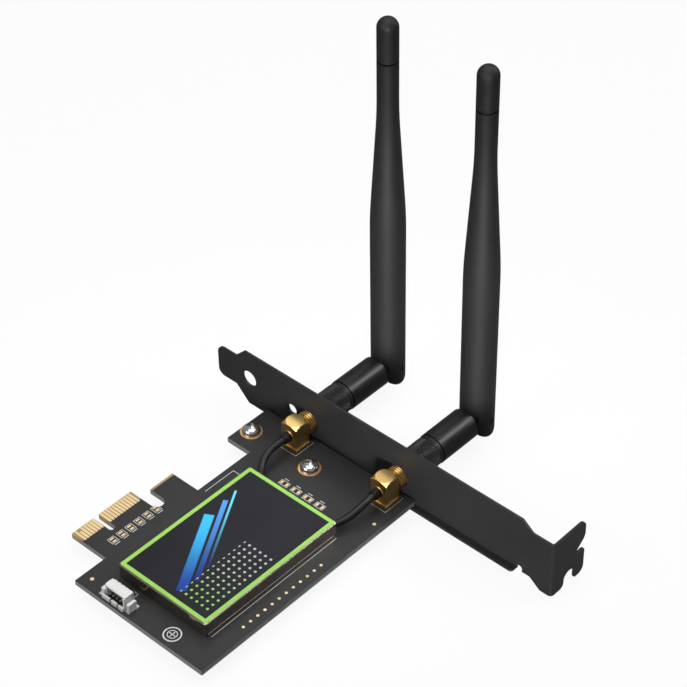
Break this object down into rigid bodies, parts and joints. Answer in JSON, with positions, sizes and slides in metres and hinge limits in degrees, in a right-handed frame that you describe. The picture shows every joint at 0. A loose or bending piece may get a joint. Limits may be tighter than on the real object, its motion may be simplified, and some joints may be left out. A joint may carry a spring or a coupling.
{
  "type": "wireless network card",
  "caption": "Plug-in radio card: black board with a gold contact edge, folded bracket, shielded radio, gold antenna sockets and hinged whip antennas that swivel and unscrew.",
  "frame": {"origin": "middle of the key notch, on the contact edge's tip line and on the board's component face", "axes": "+X up the board from the contact edge to the screw tab, +Y out through the bracket, +Z off the component face, the way the whips stand"},
  "size_m": [0.1194, 0.1178, 0.1232],
  "materials": {
    "board_black": "satin solder mask",
    "contact_gold": "bright gold plate",
    "bracket_black": "satin black",
    "screw_chrome": "bright",
    "pad_copper": "bright",
    "can_bright": "bright",
    "label_print": "printed film",
    "module_green": "satin",
    "socket_black": "matte",
    "module_steel": "plain",
    "header_white": "moulded",
    "header_tin": "tin plate",
    "cable_black": "satin jacket",
    "sleeve_black": "satin",
    "socket_gold": "polished gold plate",
    "dielectric_white": "waxy",
    "nut_black": "satin black",
    "antenna_black": "satin moulded",
    "pin_black": "satin",
    "radiator_brass": "plain"
  },
  "bodies": {
    "card": {"bracket": "bracket_black", "bracket_screws": "screw_chrome", "circuit_board": "board_black", "edge_contacts_back": "contact_gold", "edge_contacts_front": "contact_gold", "header_anchors": "header_tin", "header_housing": "header_white", "header_pins": "header_tin", "module_board": "module_green", "module_receptacles": "socket_gold", "module_screw": "screw_chrome", "module_shield": "module_steel", "module_socket": "socket_black", "module_standoff": "module_steel", "outer_nut_left": "socket_gold", "outer_nut_right": "socket_gold", "panel_washer_left": "socket_gold", "panel_washer_right": "socket_gold", "pigtail_left": "cable_black", "pigtail_plug_left": "socket_gold", "pigtail_plug_right": "socket_gold", "pigtail_right": "cable_black", "pigtail_sleeve_left": "sleeve_black", "pigtail_sleeve_right": "sleeve_black", "screw_pads": "pad_copper", "shield_can": "can_bright", "shield_label": "label_print", "socket_body_left": "socket_gold", "socket_body_right": "socket_gold", "socket_dielectric_left": "dielectric_white", "socket_dielectric_right": "dielectric_white", "socket_pin_left": "socket_gold", "socket_pin_right": "socket_gold"},
    "antenna_core_left": {"plug_ferrule_left": "socket_gold", "plug_dielectric_left": "dielectric_white", "plug_contact_left": "socket_gold"},
    "coupling_left": {"coupling_nut_left": "nut_black"},
    "swivel_left": {"swivel_barrel_left": "antenna_black"},
    "whip_left": {"whip_sheath_left": "antenna_black", "tip_cap_left": "antenna_black", "hinge_pin_left": "pin_black", "radiator_left": "radiator_brass"},
    "antenna_core_right": {"plug_ferrule_right": "socket_gold", "plug_dielectric_right": "dielectric_white", "plug_contact_right": "socket_gold"},
    "coupling_right": {"coupling_nut_right": "nut_black"},
    "swivel_right": {"swivel_barrel_right": "antenna_black"},
    "whip_right": {"whip_sheath_right": "antenna_black", "tip_cap_right": "antenna_black", "hinge_pin_right": "pin_black", "radiator_right": "radiator_brass"}
  },
  "joints": [
    {"name": "unscrew_left", "type": "slide", "parent": "card", "child": "antenna_core_left", "axis": [0, 1, 0], "range_m": [0, 0.00564]},
    {"name": "nut_spin_left", "type": "hinge", "parent": "antenna_core_left", "child": "coupling_left", "pos_m": [0.0204, 0.0694, 0.00465], "axis": [0, 1, 0], "range_deg": [0, 2880]},
    {"name": "swivel_left", "type": "hinge", "parent": "antenna_core_left", "child": "swivel_left", "pos_m": [0.0204, 0.08, 0.00465], "axis": [0, 1, 0], "range_deg": [-180, 5]},
    {"name": "tilt_left", "type": "hinge", "parent": "swivel_left", "child": "whip_left", "pos_m": [0.0204, 0.09365, 0.00465], "axis": [1, 0, 0], "range_deg": [-90, 0]},
    {"name": "unscrew_right", "type": "slide", "parent": "card", "child": "antenna_core_right", "axis": [0, 1, 0], "range_m": [0, 0.00564]},
    {"name": "nut_spin_right", "type": "hinge", "parent": "antenna_core_right", "child": "coupling_right", "pos_m": [0.05295, 0.0694, 0.00465], "axis": [0, 1, 0], "range_deg": [0, 2880]},
    {"name": "swivel_right", "type": "hinge", "parent": "antenna_core_right", "child": "swivel_right", "pos_m": [0.05295, 0.08, 0.00465], "axis": [0, 1, 0], "range_deg": [-5, 180]},
    {"name": "tilt_right", "type": "hinge", "parent": "swivel_right", "child": "whip_right", "pos_m": [0.05295, 0.09365, 0.00465], "axis": [1, 0, 0], "range_deg": [-90, 0]}
  ],
  "couplings": [
    {"joint": "nut_spin_left", "follows": "unscrew_left", "rad_per_m": 8905.3},
    {"joint": "nut_spin_right", "follows": "unscrew_right", "rad_per_m": 8905.3}
  ]
}
